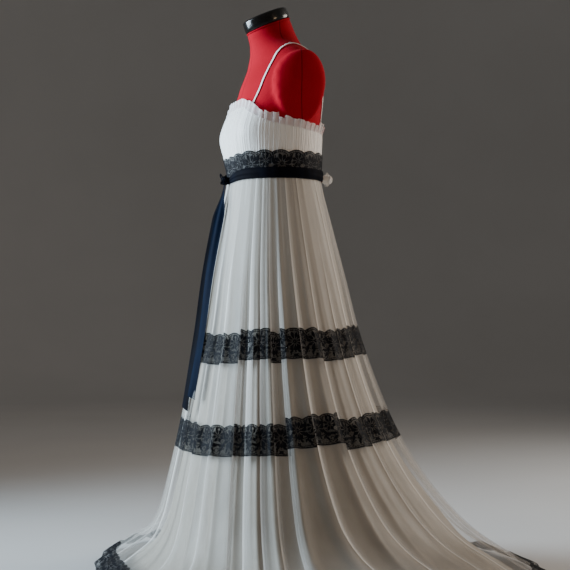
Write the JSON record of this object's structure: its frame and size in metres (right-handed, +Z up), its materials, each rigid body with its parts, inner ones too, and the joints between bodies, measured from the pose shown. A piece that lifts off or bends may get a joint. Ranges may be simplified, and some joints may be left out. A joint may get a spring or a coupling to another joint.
{
  "type": "costume gown on dress form",
  "caption": "Empire-line goth costume gown with a net skirt, black lace bands and a satin sash, standing on a limbless dress form.",
  "frame": {"origin": "the centre of the stand foot's underside, on the floor under the pole", "axes": "+Z up along the stand's pole, -Y towards the gown's front, +X towards the gown's own left side"},
  "size_m": [1.3204, 1.105, 1.4044],
  "materials": {
    "net": "sheer soft net",
    "satin_white": "ivory satin",
    "lace_black": "floral lace",
    "satin_black": "blue-black satin",
    "form_red": "matte jersey",
    "cap_black": "gloss",
    "stand_steel": "brushed",
    "stand_black": "satin"
  },
  "bodies": {
    "root": {"bodice_front": "satin_white", "bodice_back_left": "satin_white", "bodice_back_right": "satin_white", "strap_left": "satin_white", "strap_right": "satin_white", "skirt_lining_front": "satin_white", "skirt_lining_back": "satin_white", "back_rosette": "satin_white", "net_skirt_front": "net", "net_skirt_back": "net", "neck_ruffle": "net", "waist_lace": "lace_black", "upper_lace_front": "lace_black", "upper_lace_back": "lace_black", "lower_lace_front": "lace_black", "lower_lace_back": "lace_black", "hem_lace_front": "lace_black", "hem_lace_back": "lace_black", "sash": "satin_black", "sash_knot": "satin_black", "sash_tail_left": "satin_black", "sash_tail_right": "satin_black", "form_torso": "form_red", "form_neck_cap": "cap_black", "stand_pole": "stand_steel", "stand_foot": "stand_black"}
  },
  "joints": []
}
